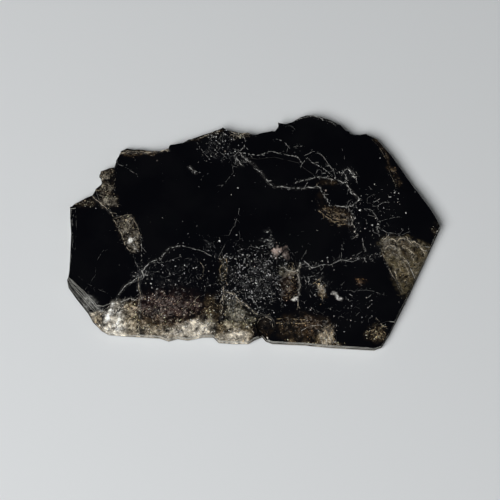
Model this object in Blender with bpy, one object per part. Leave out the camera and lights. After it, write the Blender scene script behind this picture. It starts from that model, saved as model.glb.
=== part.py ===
"""A book of dark mica: one flat crystal of tightly stacked cleavage sheets, lying on its flat underside.

The crystal grew as one piece, so it is one solid. Its long side runs along X, the sheets lie level, and the
origin is on the underside, below the middle of the crystal. Sizes and heights are in millimetres. Outlines
are points (across, down) of the drawing view described below, and at_height turns them into millimetres.
"""

import math
import random

import bpy
import bmesh
from mathutils import Vector

MM = 0.001

LENGTH = 90.0
THICKNESS = 2.6
# The drawing view: from the front and this high above level, this far from the crystal's face, with its
# middle on this spot of the face. The crystal is SPAN units long in it, from tip to tip.
VIEW_ELEVATION = math.radians(72.0)
VIEW_DISTANCE = 400.0
VIEW_MIDDLE = (250.0, 250.0)
VIEW_SPOT = (-1.0, -5.4)
SPAN = 373.5

# The thick bundles that the sheets have parted into: the height of each one's top, and how far its edge
# stands back from the crystal's own outline.
BUNDLES = ((0.50, 0.14), (0.95, 0.00), (1.40, 0.18), (1.80, 0.04), (2.20, 0.16), (THICKNESS, 0.00))
LEDGE_RISE = 0.03

# The outline goes clockwise from the left corner, along the widest sheets. These stretches are seen at the
# top of the book.
TORN_LEFT = (
    (70, 207), (75.5, 202), (92, 194.5), (98.5, 186), (101, 179), (99, 173), (105, 168), (114, 166.5),
    (117, 157.5), (120, 148.5), (126.5, 146.5), (139, 148), (152, 149), (163.5, 150),
)
TORN_MIDDLE = (
    (170, 144), (183, 141), (193, 137), (209, 131), (221.5, 126.5), (228.5, 129.5), (242.5, 133), (254, 134),
    (272, 131), (276.5, 128),
)
TORN_RIGHT = (
    (278, 122.5), (292, 120.5), (301, 116.5), (313, 114.5), (321.5, 117), (337, 122), (346, 131), (351, 133),
    (366, 133.5), (376.5, 138.5),
)
UPPER_RIGHT_FACE = ((392, 156), (412, 184.5), (430, 208.5), (436.5, 219), (440, 226.5))
LEFT_FACE = ((69, 273.5), (70, 256), (71, 233), (70, 217.5))
# These are seen at the foot of the book, on the table.
LOWER_RIGHT_FACE = ((439.5, 231.5), (425, 263.5), (407, 301.5), (389, 337.5), (381.5, 349))
BOTTOM_EDGE = (
    (374, 351.5), (330.5, 349), (305, 346.5), (272, 345), (265.5, 342.5), (262, 338.5), (254, 341.5),
    (249, 345), (233.5, 345), (218.5, 344), (213, 338.5), (203, 338.5), (188, 341.5), (177.5, 340),
    (168.5, 342.5), (160, 339.5), (126.5, 337.5),
)
# The lower left face slopes, so its foot and its crest are lines of their own.
SLOPE_FOOT = ((108.5, 336), (101, 332), (92, 323.5), (86, 314.5), (74, 299), (67.5, 289), (66.5, 281.5))
SLOPE_CREST = (
    (108.5, 332), (104.5, 328.5), (101.5, 320), (101, 308), (85.5, 291.5), (74, 281.5), (68.5, 276.5),
)
# How far the crest of a stretch stands back from its foot: the crystal's front faces lean outwards.
LOWER_RIGHT_LEAN = 0.45
BOTTOM_LEAN = 0.20
# A torn edge swings this far either side of its line, and its bundles are torn back by up to this much.
TEAR_SWING = 0.30
TEAR_BACK = 0.55
TEAR_SEED = 5

# Sheets missing from the top of the book: how deep the floor of each gap lies, and the gap's outline. Where a
# gap runs off the crystal, its outline passes outside the crystal's own.
GAPS = {
    "torn_shelf_left": (0.90, (
        (113, 156), (122, 152), (140, 152.5), (160, 151), (169, 148), (166, 138), (115, 136),
    )),
    "torn_shelf_middle": (0.75, (
        (180, 143), (190, 141), (209.5, 133.5), (222.5, 128), (225.5, 119), (179, 129),
    )),
    "torn_shelf_corner": (0.55, (
        (104, 181), (115, 178), (117, 170), (116, 161), (92, 161), (92, 182.5),
    )),
    "torn_shelf_far_left": (0.42, (
        (75, 206), (94.5, 207), (99, 199.5), (95, 188), (77, 192), (64.5, 205.5),
    )),
    "left_strip": (0.30, (
        (75.5, 208), (76.5, 230), (75, 255), (72, 271), (60, 272.5), (62, 209.5),
    )),
    "right_strip": (0.25, (
        (364.5, 129), (368.5, 136.5), (377, 145), (383, 155.5), (389.5, 169.5), (396, 185.5), (407, 191.5),
        (426, 188), (392, 129),
    )),
    "lower_left_floor": (0.36, (
        (92, 304.5), (103, 306), (113, 302), (124, 299), (139, 297), (139.5, 308.5), (139, 343), (91, 343),
    )),
    "wedge_flake": (0.18, (
        (113.5, 216.5), (118, 215.5), (123.5, 217.5), (131.5, 214), (134, 217.5), (137.5, 224.5),
        (141.5, 232.5), (141, 249.5), (131.5, 250.5), (128, 242.5), (121.5, 232),
    )),
    "right_flake": (0.28, (
        (381, 241.5), (393, 236), (405, 237.5), (415, 245.5), (445, 248.5), (413.5, 308.5), (404, 295),
        (400.5, 291), (394.5, 275), (386, 263.5), (381, 252),
    )),
    "upper_middle_flake": (0.15, (
        (243.5, 157), (251.5, 162.5), (257, 169), (264, 176), (269, 183), (274.5, 187), (296, 188.5),
        (309, 181), (320.5, 179), (304, 168), (298, 162.5), (274.5, 157), (257.5, 159),
    )),
    "three_sided_flake": (0.30, (
        (224, 294), (226.5, 290), (258, 313.5), (255, 327), (239, 332.5), (222, 328),
    )),
    "lower_right_chip": (0.35, (
        (371.5, 327), (387, 321), (406, 323), (385.5, 357.5), (367.5, 339.5),
    )),
    "bottom_chip": (0.45, (
        (315.5, 334.5), (326, 328.5), (336, 334), (338, 353.5), (313.5, 353.5),
    )),
}
# The round chip at the bottom edge, broken out nearly half way down the book.
CHIP_CENTRE = (265, 326.5)
CHIP_RADII = (2.3, 3.2)
CHIP_DEPTH = 1.25
CHIP_SIDES = 14

# Two grains of pale mineral set in the face: centre, half widths in millimetres and how high they stand.
GRAINS = (((274, 252.5), (1.35, 1.55), 0.35), ((285, 252.5), (1.15, 1.75), 0.28))
GRAIN_ROOT = 0.5
GRAIN_SEED = 11
GRAIN_ROUGHNESS = 0.22


def at_height(point, height):
    """The spot of the crystal, in millimetres, that the drawing view shows at this point and this height."""
    unit = LENGTH / SPAN / VIEW_DISTANCE
    ahead = Vector((0, math.cos(VIEW_ELEVATION), -math.sin(VIEW_ELEVATION)))
    upwards = Vector((0, math.sin(VIEW_ELEVATION), math.cos(VIEW_ELEVATION)))
    ray = ahead + upwards * (VIEW_MIDDLE[1] - point[1]) * unit
    ray.x = (point[0] - VIEW_MIDDLE[0]) * unit
    eye = Vector((*VIEW_SPOT, THICKNESS)) - ahead * VIEW_DISTANCE
    return (eye + ray * ((height - eye.z) / ray.z)).xy


def all_at_height(points, height):
    return [at_height(point, height) for point in points]


def clear_scene():
    for obj in list(bpy.data.objects):
        bpy.data.objects.remove(obj, do_unlink=True)


def inset(points, distance):
    """The closed outline with each side moved inwards; distance is one number or one for each point."""
    count = len(points)
    distances = distance if isinstance(distance, (list, tuple)) else [distance] * count
    moved = []
    for index, point in enumerate(points):
        before = (point - points[index - 1]).normalized()
        after = (points[(index + 1) % count] - point).normalized()
        inwards = (Vector((before.y, -before.x)) + Vector((after.y, -after.x))).normalized()
        across = max(0.5, inwards.dot(Vector((after.y, -after.x))))
        moved.append(point + inwards * distances[index] / across)
    return moved


def torn(points, dice):
    """The points of a torn stretch, with one more between each two, swung to one side."""
    rough = [points[0]]
    for start, end in zip(points, points[1:]):
        along = end - start
        sideways = Vector((-along.y, along.x)).normalized() * dice.uniform(-TEAR_SWING, TEAR_SWING)
        rough.append(start + along * dice.uniform(0.35, 0.65) + sideways)
        rough.append(end)
    return rough


def outlines(dice):
    """The outlines of the lowest and the topmost sheets, point for point, and how many points are torn."""
    torn_stretch = torn(all_at_height(TORN_LEFT + TORN_MIDDLE + TORN_RIGHT, THICKNESS), dice)
    foot = torn_stretch + all_at_height(UPPER_RIGHT_FACE, THICKNESS)
    foot += all_at_height(LOWER_RIGHT_FACE + BOTTOM_EDGE + SLOPE_FOOT, 0.0)
    foot += all_at_height(LEFT_FACE, THICKNESS)
    leans = [0.0] * len(torn_stretch + list(UPPER_RIGHT_FACE))
    leans += [LOWER_RIGHT_LEAN] * len(LOWER_RIGHT_FACE)
    leans += [BOTTOM_LEAN] * len(BOTTOM_EDGE)
    slope_start = len(leans)
    leans += [0.0] * len(SLOPE_FOOT + LEFT_FACE)
    crest = inset(foot, leans)
    for offset, point in enumerate(all_at_height(SLOPE_CREST, THICKNESS)):
        crest[slope_start + offset] = point
    return foot, crest, len(torn_stretch)


def bundle_rings():
    """The corners of every bundle's lower and upper edge, from the underside up."""
    dice = random.Random(TEAR_SEED)
    foot, crest, torn_count = outlines(dice)
    widest = [dice.randrange(len(BUNDLES)) for _ in range(torn_count)]
    rings = []
    bottom = 0.0
    for level, (top, stand_back) in enumerate(BUNDLES):
        share = (bottom + top) / 2 / THICKNESS
        backs = [stand_back] * len(foot)
        for index in range(1, torn_count - 1):
            backs[index] = 0.0 if widest[index] == level else dice.uniform(0.0, TEAR_BACK)
        outline = inset([low.lerp(high, share) for low, high in zip(foot, crest)], backs)
        rings.append([(x, y, bottom + LEDGE_RISE if rings else 0.0) for x, y in outline])
        rings.append([(x, y, top) for x, y in outline])
        bottom = top
    return rings


def new_object(name, bm):
    mesh = bpy.data.meshes.new(name)
    bmesh.ops.recalc_face_normals(bm, faces=bm.faces)
    bm.to_mesh(mesh)
    bm.free()
    obj = bpy.data.objects.new(name, mesh)
    bpy.context.scene.collection.objects.link(obj)
    return obj


def stack_of_rings(name, rings):
    """A closed solid whose walls join each ring of corners to the next."""
    bm = bmesh.new()
    levels = [[bm.verts.new(Vector(corner) * MM) for corner in ring] for ring in rings]
    for lower, upper in zip(levels, levels[1:]):
        for index in range(len(lower)):
            after = (index + 1) % len(lower)
            bm.faces.new((lower[index], lower[after], upper[after], upper[index]))
    bm.faces.new(levels[0])
    bm.faces.new(levels[-1])
    return new_object(name, bm)


def prism(name, outline, bottom, top):
    return stack_of_rings(name, [[(x, y, z) for x, y in outline] for z in (bottom, top)])


def grain(name, centre, half_widths, height, dice):
    """A low, uneven lump with flat facets, rooted in the sheets below it."""
    bm = bmesh.new()
    bmesh.ops.create_icosphere(bm, subdivisions=2, radius=1.0)
    for vert in bm.verts:
        vert.co *= 1 + dice.uniform(-GRAIN_ROUGHNESS, GRAIN_ROUGHNESS)
        vert.co.x = (vert.co.x * half_widths[0] + centre.x) * MM
        vert.co.y = (vert.co.y * half_widths[1] + centre.y) * MM
        vert.co.z = (min(vert.co.z, 0.9) * (height if vert.co.z > 0 else GRAIN_ROOT) + THICKNESS) * MM
    return new_object(name, bm)


def chip_outline():
    """A rounded outline for the chip; its lower side runs out through the crystal's edge."""
    centre = at_height(CHIP_CENTRE, THICKNESS)
    corners = []
    for step in range(CHIP_SIDES):
        angle = math.tau * step / CHIP_SIDES
        wobble = 1 + 0.08 * math.sin(3 * angle + 0.6)
        corners.append((
            centre.x + CHIP_RADII[0] * wobble * math.cos(angle),
            centre.y + CHIP_RADII[1] * wobble * math.sin(angle),
        ))
    return corners


def join(body, tool, operation):
    """Add a Boolean modifier that cuts with, or joins on, a helper that isn't part of the model."""
    tool.hide_render = True
    tool.display_type = "WIRE"
    modifier = body.modifiers.new(tool.name, "BOOLEAN")
    modifier.operation = operation
    modifier.solver = "EXACT"
    modifier.object = tool


def mica_material():
    """Glossy black-brown mica."""
    material = bpy.data.materials.new("mica")
    material.use_nodes = True
    shader = material.node_tree.nodes["Principled BSDF"]
    shader.inputs["Base Color"].default_value = (0.012, 0.011, 0.011, 1)
    shader.inputs["Metallic"].default_value = 0.0
    shader.inputs["Roughness"].default_value = 0.18
    return material


def build_crystal():
    crystal = stack_of_rings("mica_crystal", bundle_rings())
    above = THICKNESS + 1.0
    for name, (depth, outline) in GAPS.items():
        edge = all_at_height(outline, THICKNESS)
        join(crystal, prism(name, edge, THICKNESS - depth, above), "DIFFERENCE")
    join(crystal, prism("round_chip", chip_outline(), THICKNESS - CHIP_DEPTH, above), "DIFFERENCE")
    dice = random.Random(GRAIN_SEED)
    for number, (centre, half_widths, height) in enumerate(GRAINS, 1):
        spot = at_height(centre, THICKNESS)
        join(crystal, grain(f"grain_{number}", spot, half_widths, height, dice), "UNION")
    crystal.data.materials.append(mica_material())


clear_scene()
build_crystal()
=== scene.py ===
import math
import random

import bmesh
import bpy
import numpy as np
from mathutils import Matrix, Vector, bvhtree, kdtree, noise
from mathutils.geometry import delaunay_2d_cdt


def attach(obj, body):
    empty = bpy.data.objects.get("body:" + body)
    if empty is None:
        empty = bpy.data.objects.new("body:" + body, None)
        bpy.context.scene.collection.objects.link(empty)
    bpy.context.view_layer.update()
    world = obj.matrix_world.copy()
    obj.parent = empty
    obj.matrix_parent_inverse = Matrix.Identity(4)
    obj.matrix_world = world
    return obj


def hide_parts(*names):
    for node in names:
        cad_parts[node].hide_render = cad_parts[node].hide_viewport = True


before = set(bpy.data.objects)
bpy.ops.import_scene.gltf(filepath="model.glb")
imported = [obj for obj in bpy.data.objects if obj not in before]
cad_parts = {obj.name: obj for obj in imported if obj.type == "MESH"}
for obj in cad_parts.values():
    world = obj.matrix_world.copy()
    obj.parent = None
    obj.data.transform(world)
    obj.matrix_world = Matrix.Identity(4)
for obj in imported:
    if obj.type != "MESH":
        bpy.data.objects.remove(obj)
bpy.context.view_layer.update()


# ---- The camera ----
# It looks down at the crystal from the front through a long lens, 72 degrees above the table. Sizes are in
# millimetres in the whole script, and MM turns them into the frame's metres.

MM = 0.001
VIEW_ELEVATION = 72.0
VIEW_DISTANCE = 400.0
VIEW_TARGET = (-1.0, -5.4, 2.6)
LENS = 119.5
SENSOR = 36.0
FRAME_SIZE = 500

camera = bpy.data.objects.new("camera", bpy.data.cameras.new("camera"))
tilt = math.radians(VIEW_ELEVATION)
backwards = Vector((0.0, -math.cos(tilt), math.sin(tilt)))
camera.location = (Vector(VIEW_TARGET) + VIEW_DISTANCE * backwards) * MM
camera.rotation_euler = (math.pi / 2 - tilt, 0.0, 0.0)
camera.data.lens = LENS
camera.data.sensor_width = SENSOR
bpy.context.scene.collection.objects.link(camera)
bpy.context.scene.camera = camera


# ---- The crystal ----
# One book of dark mica: hundreds of thin cleavage sheets grown as a single crystal, near black and glossy on
# the face. Sheets are torn off its back edge, and whitish cracks, frosted flakes and stains lie between them.

SHEET = 0.1
LEAST_SHEET = 0.3
FACE_STEP = 0.32
WALL_STEP = 0.3
UNDERSIDE_STEP = 1.2
STEEP = 0.6
LEVEL = 0.9
MERGE = 0.002
SAME_POINT = 1e-7
FLAT_WITHIN = math.radians(0.3)

# Marks on the face are given by points of the camera's frame, across and down. A crack or a ledge's lip has a
# shade, a brightness, a number of strands and the points that it runs through.
SHADES = {
    "white": (0.95, 0.94, 0.89),
    "grey": (0.66, 0.66, 0.62),
    "tan": (0.90, 0.78, 0.58),
    "cream": (1.00, 0.94, 0.82),
    "gold": (0.85, 0.64, 0.36),
}
CRACKS = (
    ("white", 0.95, 3, (142, 270), (143, 274), (141, 277), (138, 277)),
    ("white", 0.75, 1, (133, 276), (141, 275.5), (148, 275)),
    ("white", 0.90, 1, (138, 277), (133, 281), (124.5, 286.5), (116, 300), (112, 303)),
    ("white", 1.00, 2, (113, 301), (110, 308), (106, 314), (103, 320)),
    ("white", 0.70, 1, (114, 303), (113.5, 311), (112, 320)),
    ("cream", 0.75, 1, (119, 302), (118, 311), (116, 321), (118, 330)),
    ("cream", 0.60, 1, (125, 300), (121, 309), (120, 317)),
    ("cream", 0.70, 2, (113.5, 302), (122.5, 301), (130, 298), (139, 300)),
    ("tan", 1.00, 1, (138.5, 277), (141, 296), (139, 300), (139.5, 318), (138.5, 336)),
    ("white", 0.80, 1, (143, 271), (149.5, 262.5), (161, 259), (168, 249), (182, 245.5)),
    ("white", 0.50, 1, (182, 245.5), (199.5, 250), (219.5, 259)),
    ("white", 0.24, 1, (149.5, 262.5), (162, 262.5), (174.5, 258.5), (183, 256)),
    ("white", 0.60, 1, (140, 235), (141.5, 247.5), (142, 258), (142, 268)),
    ("white", 0.40, 1, (133, 254), (137, 265), (140.5, 271)),
    ("tan", 0.60, 1, (114, 218), (119, 217), (123, 216), (128, 214.5), (133, 218.5), (137, 226),
        (140, 235)),
    ("tan", 0.55, 2, (112, 213.5), (115.5, 222.5), (122, 235), (125.5, 246), (131, 252)),
    ("tan", 0.95, 1, (92, 195), (97, 200), (102, 205), (107, 209), (112, 213.5)),
    ("tan", 0.55, 1, (72, 207), (77, 202.5), (84, 198), (90, 195)),
    ("grey", 0.40, 1, (71.5, 209), (71, 222), (70, 252), (68, 276)),
    ("grey", 0.28, 1, (73.5, 214), (73, 240), (70.5, 266)),
    ("grey", 0.16, 1, (85, 290), (95, 276), (96, 262), (104, 250)),
    ("grey", 0.14, 1, (78, 276), (88, 284), (99.5, 290), (113, 296)),
    ("tan", 0.50, 1, (99, 167), (106, 168), (112, 167)),
    ("tan", 0.45, 1, (101, 170), (105, 176), (101, 181)),
    ("tan", 0.45, 1, (100, 182), (108, 184), (114, 189)),
    ("tan", 0.45, 1, (95, 192), (102, 196), (110, 198), (117, 205)),
    ("grey", 0.35, 1, (116, 158), (118, 164), (125, 167), (137, 174.5)),
    ("tan", 1.00, 3, (120, 153), (128, 152.5), (140, 152.5), (150, 152), (160, 151), (169, 150)),
    ("tan", 0.80, 2, (183, 141.5), (193, 138.5), (203, 136), (210, 134), (216, 131), (221, 128)),
    ("white", 1.00, 2, (189, 167), (192.5, 170), (195.5, 173)),
    ("grey", 0.40, 1, (197, 142), (200, 148), (204, 153), (209, 158)),
    ("grey", 0.35, 1, (220, 152), (224, 155), (227, 159)),
    ("tan", 1.00, 3, (230, 130.5), (236, 133), (243, 133.5), (250, 133)),
    ("tan", 0.90, 2, (236, 134), (240, 136.5), (243, 137)),
    ("white", 0.60, 1, (243.5, 135), (245.5, 142), (244, 147), (240, 151)),
    ("white", 0.95, 2, (239, 151), (244, 158), (251.5, 162.5), (257, 169), (264, 176), (269, 183),
        (274.5, 187)),
    ("white", 0.85, 2, (274.5, 187), (287, 187), (296, 188.5), (310, 187.5), (320, 187)),
    ("white", 0.70, 2, (320, 187), (323, 194), (330.5, 205.5), (341, 206.5), (351.5, 206), (360, 200)),
    ("white", 0.60, 1, (242.5, 153), (251, 154.5), (257, 155.5), (269, 151.5), (274.5, 152), (283.5, 154)),
    ("white", 0.65, 1, (283.5, 154), (298, 157.5), (302.5, 163.5), (307.5, 157.5), (312, 162.5),
        (331.5, 175)),
    ("white", 0.50, 1, (304, 156), (312.5, 151), (321, 154), (327, 162), (333.5, 169.5), (335.5, 177)),
    ("white", 0.75, 1, (295, 183), (307, 179.5), (315.5, 176.5), (333.5, 180), (338, 180)),
    ("white", 0.90, 2, (338, 180), (345, 183.5), (351.5, 191.5), (359.5, 200)),
    ("tan", 0.40, 1, (317, 177), (317.5, 187)),
    ("white", 0.35, 1, (287, 152), (288, 147.5), (297, 146), (303, 146)),
    ("white", 0.28, 1, (276, 139), (283, 141), (289, 146.5)),
    ("white", 0.25, 1, (342, 148), (345, 163)),
    ("white", 0.85, 2, (235, 158), (238, 161.5), (243, 166)),
    ("white", 0.50, 1, (239, 151), (234, 156), (236, 162), (233, 165)),
    ("grey", 0.40, 1, (233, 165), (233.5, 173), (221, 186.5)),
    ("white", 0.80, 1, (350, 169), (356, 176)),
    ("white", 0.55, 1, (342, 170), (347, 178), (342, 184)),
    ("white", 0.55, 1, (351, 173), (356, 177), (357, 183)),
    ("grey", 0.24, 1, (285, 127), (289, 125.5), (293, 127), (295, 130), (292, 132)),
    ("grey", 0.80, 2, (279, 122.5), (290, 121.5), (297, 119.5), (303, 117), (310, 115.5), (318, 117),
        (335, 124)),
    ("tan", 0.40, 1, (371.5, 138.5), (378, 145.5), (383, 153), (385.5, 158)),
    ("tan", 0.28, 1, (388, 168), (390, 174), (393, 180), (396, 188)),
    ("grey", 0.35, 1, (239.5, 208), (238.5, 214.5), (231, 230.5), (222, 250.5), (218.5, 257)),
    ("grey", 0.25, 1, (236, 245), (240, 238), (239, 231)),
    ("gold", 0.60, 2, (219, 258), (222, 264), (220, 272), (222, 281)),
    ("gold", 0.55, 1, (226, 258), (227, 268), (225, 278), (228, 287)),
    ("grey", 0.45, 1, (207, 286.5), (212, 284), (218, 283.5), (222, 285)),
    ("grey", 0.25, 1, (206, 282), (205, 290), (204, 297)),
    ("tan", 0.90, 2, (223, 286), (223, 296), (222, 309), (221, 319)),
    ("tan", 0.95, 2, (224, 294), (227, 291.5), (231, 293), (240, 301), (250, 308), (257, 315)),
    ("tan", 0.70, 1, (230, 295), (229.5, 303), (228.5, 311)),
    ("white", 0.60, 1, (248, 296), (252, 299), (256, 303.5), (258, 308)),
    ("gold", 0.55, 1, (274, 319), (284, 318.5), (296, 319.5), (310, 319)),
    ("gold", 0.65, 1, (276, 323), (288, 322.5), (300, 323.5), (310, 322)),
    ("cream", 0.60, 1, (301, 331), (309, 326), (318, 325), (326, 328)),
    ("grey", 0.40, 1, (287, 247), (293, 254), (300, 262)),
    ("cream", 1.00, 2, (300, 263), (298, 270), (294, 272), (288, 270.5), (284, 267)),
    ("cream", 0.90, 2, (298, 270), (299, 278), (300, 285), (299, 291), (298, 295)),
    ("tan", 0.50, 1, (298, 301), (298, 306), (296.5, 311), (295, 316)),
    ("grey", 0.45, 1, (300, 278), (306, 276.5), (314, 276), (323, 268)),
    ("grey", 0.35, 1, (301, 261), (306, 251), (310, 244)),
    ("gold", 0.70, 2, (318, 210), (325, 216), (333, 221), (340, 226)),
    ("gold", 0.60, 1, (322, 208), (330, 213), (337, 219)),
    ("cream", 0.60, 2, (348, 206), (350, 214), (353, 224), (355.5, 230), (358, 236)),
    ("white", 0.50, 1, (366, 209), (371, 210), (374, 213), (376.5, 217), (378, 221)),
    ("white", 0.55, 1, (378, 221), (377, 226), (379, 234), (381, 241)),
    ("white", 0.50, 1, (378, 226), (380, 229), (388, 233), (394, 233.5), (400, 234)),
    ("white", 0.35, 1, (398, 236), (404, 234), (409, 232), (408, 226)),
    ("grey", 0.35, 1, (379, 221), (388, 219), (400, 217)),
    ("grey", 0.50, 1, (342, 242), (345, 240), (350, 239), (354, 238.5), (358, 237)),
    ("white", 0.45, 1, (342, 244), (341.5, 251), (341, 258)),
    ("white", 0.45, 1, (362, 238), (363, 244), (364, 250)),
    ("white", 0.50, 1, (358, 254), (362, 251.5), (366, 251), (364, 249)),
    ("white", 0.65, 2, (312, 268), (308, 264), (304, 261)),
    ("white", 0.45, 1, (312, 268), (322, 264.5), (330, 265), (340, 260), (352, 262), (360, 258)),
    ("white", 0.50, 1, (341, 260), (346, 260.5), (351, 259), (355, 257), (358, 254)),
    ("white", 0.45, 1, (360, 258), (370, 259), (381, 256), (384, 254)),
    ("grey", 0.35, 1, (342, 291), (348, 290), (354, 292), (361, 290), (372, 291), (384, 295)),
    ("tan", 1.00, 3, (382, 242), (384, 239), (388, 237), (394, 239), (397, 241)),
    ("tan", 1.00, 3, (396, 241), (400, 238), (405, 238), (409, 240), (411, 243)),
    ("tan", 1.00, 3, (411, 242), (415, 242), (419, 245), (422, 249), (426, 251)),
    ("tan", 1.00, 3, (385, 248), (389, 245), (394, 246), (398, 249), (399, 253)),
    ("tan", 1.00, 3, (399, 250), (404, 247), (409, 249), (412, 253), (412, 258)),
    ("tan", 1.00, 2, (389, 255), (394, 253), (399, 255), (403, 259), (408, 262)),
    ("white", 0.95, 1, (408, 262), (411, 269), (413.5, 274), (415, 278)),
    ("tan", 1.00, 2, (395, 270), (397, 280), (400, 287), (402, 292)),
    ("tan", 0.40, 1, (413, 258), (417, 264), (420, 262)),
    ("tan", 0.80, 1, (380, 246), (383, 254), (386, 262), (390, 270), (394, 278)),
    ("gold", 0.90, 2, (324, 328), (328, 334), (330, 341), (330, 346)),
    ("gold", 0.90, 2, (334, 326), (331, 334), (334, 342)),
    ("gold", 0.60, 1, (370, 329), (376, 333), (382, 337), (384, 340)),
    ("gold", 0.50, 1, (372, 326), (379, 327), (387, 326)),
    ("cream", 0.80, 1, (318, 330), (321, 337), (323, 346)),
    ("cream", 0.80, 1, (327, 331), (327, 338), (326, 346)),
    ("gold", 0.60, 1, (326, 214), (333, 218), (341, 220), (347, 219)),
    ("gold", 0.60, 1, (330, 209), (337, 213), (345, 214)),
    ("tan", 0.80, 2, (122, 149.5), (134, 150), (146, 150), (158, 150.5)),
    ("tan", 0.60, 1, (419, 247), (425, 254), (428, 257)),
    ("tan", 0.70, 1, (404, 262), (408, 270), (411, 279)),
    ("tan", 0.60, 1, (398, 262), (401, 271), (405, 282)),
    ("tan", 0.60, 2, (376, 318), (382, 325), (388, 329)),
    ("cream", 1.00, 1, (164, 337), (172, 333), (180, 330.5), (186, 327), (196, 322)),
    ("cream", 0.95, 1, (181, 336), (190, 334), (198, 331), (206, 328), (212, 321)),
    ("cream", 0.80, 1, (104, 336), (118, 336.5), (132, 337), (146, 338.5), (160, 340)),
    ("tan", 0.60, 1, (183, 312), (190, 306), (195, 300), (199, 296)),
    ("tan", 0.70, 1, (236, 312), (243, 318), (249, 327), (254, 333)),
    ("gold", 0.80, 1, (313, 284), (318, 280), (323, 277)),
    ("gold", 0.90, 1, (319, 290), (322, 296), (323, 301)),
    ("gold", 0.90, 1, (316, 283), (320, 288), (325, 291)),
    ("tan", 0.50, 1, (200, 262), (204, 268), (203, 276), (198, 280)),
    ("tan", 0.70, 1, (257, 323), (259, 318), (265, 315), (271, 318), (273, 326)),
    ("gold", 0.90, 1, (322, 346), (323, 339), (327, 333), (326, 328)),
    ("gold", 0.80, 1, (327, 345), (329, 338), (333, 333)),
    ("white", 0.70, 1, (128, 234), (131, 241), (135, 246), (138, 252)),
    ("white", 0.70, 1, (136, 236), (131, 241), (127, 245)),
    ("grey", 0.50, 1, (69, 285), (76, 294), (84, 303)),
    ("grey", 0.45, 1, (73, 284), (82, 294), (91, 305)),
    ("grey", 0.55, 1, (79, 288), (88, 299), (96, 312)),
    ("grey", 0.50, 1, (86, 294), (94, 304), (100, 314)),
)
CRACK_WANDER = 0.06
CRACK_STEP = 0.35
CRACK_SEED = 21
OVAL_POINTS = 14

dice = random.Random(CRACK_SEED)


def on_face(x, y):
    """The spot of the face, in millimetres, that the camera sees this far across and down its frame."""
    ray = Vector(((x / FRAME_SIZE - 0.5) * SENSOR, (0.5 - y / FRAME_SIZE) * SENSOR, -LENS))
    ray.rotate(camera.rotation_euler)
    eye = camera.location / MM
    return (eye + ray * ((VIEW_TARGET[2] - eye.z) / ray.z)).xy


def outline_on_face(outline):
    """The corners of an outline on the face. Two points are an oval's middle and its half widths."""
    if len(outline) == 2:
        (x, y), (wide, high) = outline
        turns = [math.tau * step / OVAL_POINTS for step in range(OVAL_POINTS)]
        outline = [(x + wide * math.cos(turn), y + high * math.sin(turn)) for turn in turns]
    return np.array([on_face(*point) for point in outline])


def wandering(start, end):
    """The points from start to end along a crack, without end, swung aside at every halving."""
    if (end - start).length < CRACK_STEP:
        return [start]
    aside = Vector((start.y - end.y, end.x - start.x)) * dice.uniform(-CRACK_WANDER, CRACK_WANDER)
    middle = (start + end) / 2 + aside
    return wandering(start, middle) + wandering(middle, end)


def wandering_line(route):
    line = []
    for start, end in zip(route, route[1:]):
        line += wandering(start, end)
    return line + [route[-1]]


crack_lines = [(shade, brightness, strands, wandering_line([on_face(*point) for point in route]))
               for shade, brightness, strands, *route in CRACKS]


def lattice(low, high, step):
    """The points of a triangular lattice over the rectangle from low to high."""
    rows = np.arange(low[1], high[1] + step, step * math.sqrt(0.75))
    columns = np.arange(low[0], high[0] + step, step)
    across, up = np.meshgrid(columns, rows)
    across = across + (np.arange(len(rows)) % 2)[:, None] * step / 2
    return np.column_stack((across.ravel(), up.ravel()))


def tree_of(points):
    tree = kdtree.KDTree(len(points))
    for number, point in enumerate(points):
        tree.insert((point[0], point[1], 0.0), number)
    tree.balance()
    return tree


def cad_faces():
    """The CAD solid's corners in millimetres and its flat faces, as a bmesh."""
    bm = bmesh.new()
    bm.from_mesh(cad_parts["mica_crystal"].data)
    bmesh.ops.remove_doubles(bm, verts=bm.verts, dist=MERGE * MM)
    bmesh.ops.dissolve_limit(bm, angle_limit=FLAT_WITHIN, verts=bm.verts, edges=bm.edges)
    bmesh.ops.scale(bm, vec=(1 / MM,) * 3, verts=bm.verts)
    bm.verts.index_update()
    bm.edges.index_update()
    bm.normal_update()
    return bm


def split_edge(start, end):
    """The points between start and end: one for each sheet on a steep edge, one for each step on others."""
    rise = end.z - start.z
    if abs(rise) > STEEP * (end - start).length:
        low, high = sorted((start.z, end.z))
        levels = np.arange(math.floor(low / SHEET) + 1, math.ceil(high / SHEET)) * SHEET
        levels = levels[(levels > low + LEAST_SHEET * SHEET) & (levels < high - LEAST_SHEET * SHEET)]
        shares = sorted((level - start.z) / rise for level in levels)
    else:
        count = max(1, round((end - start).length / WALL_STEP))
        shares = [number / count for number in range(1, count)]
    return [start.lerp(end, share) for share in shares]


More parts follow.
